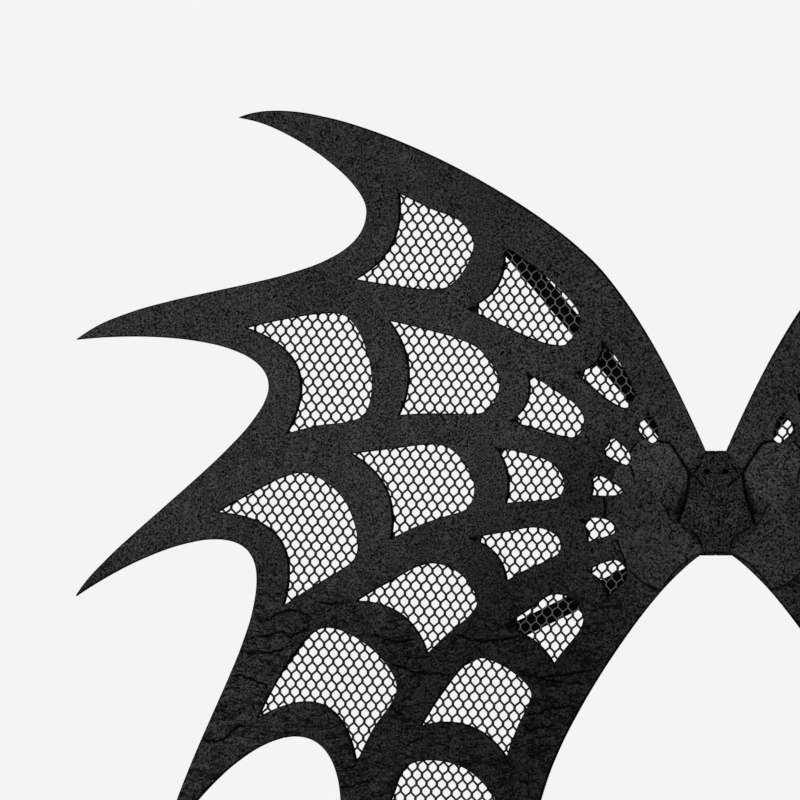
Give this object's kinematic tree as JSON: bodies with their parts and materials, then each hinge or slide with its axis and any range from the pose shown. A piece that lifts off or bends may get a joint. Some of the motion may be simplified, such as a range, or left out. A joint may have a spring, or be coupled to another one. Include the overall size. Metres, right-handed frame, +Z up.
{
  "type": "spider-web costume wings",
  "caption": "Black felt costume wings worn on the back, scalloped like a bat's and cut into a spider's web, with net behind the windows and straight stiffening ribs.",
  "frame": {"origin": "on the spine line at the back face of the ribs, where the wings sit against the wearer's back", "axes": "+X to the viewer's right, +Y towards the wearer's back, +Z up; the show side faces -Y"},
  "size_m": [0.798, 0.0286, 0.595],
  "materials": {
    "felt": "matt black needled felt with fine creases",
    "patch_felt": "matt black felt",
    "panel_felt": "matt black felt, rubbed darker",
    "net": "black knitted hexagonal net",
    "rib": "satin black strip"
  },
  "bodies": {
    "root": {"left_wing": "felt", "right_wing": "felt", "left_net": "net", "right_net": "net", "left_upper_rib": "rib", "left_lower_rib": "rib", "right_upper_rib": "rib", "right_lower_rib": "rib", "left_root_patch": "patch_felt", "right_root_patch": "patch_felt", "centre_panel": "panel_felt"}
  },
  "joints": []
}
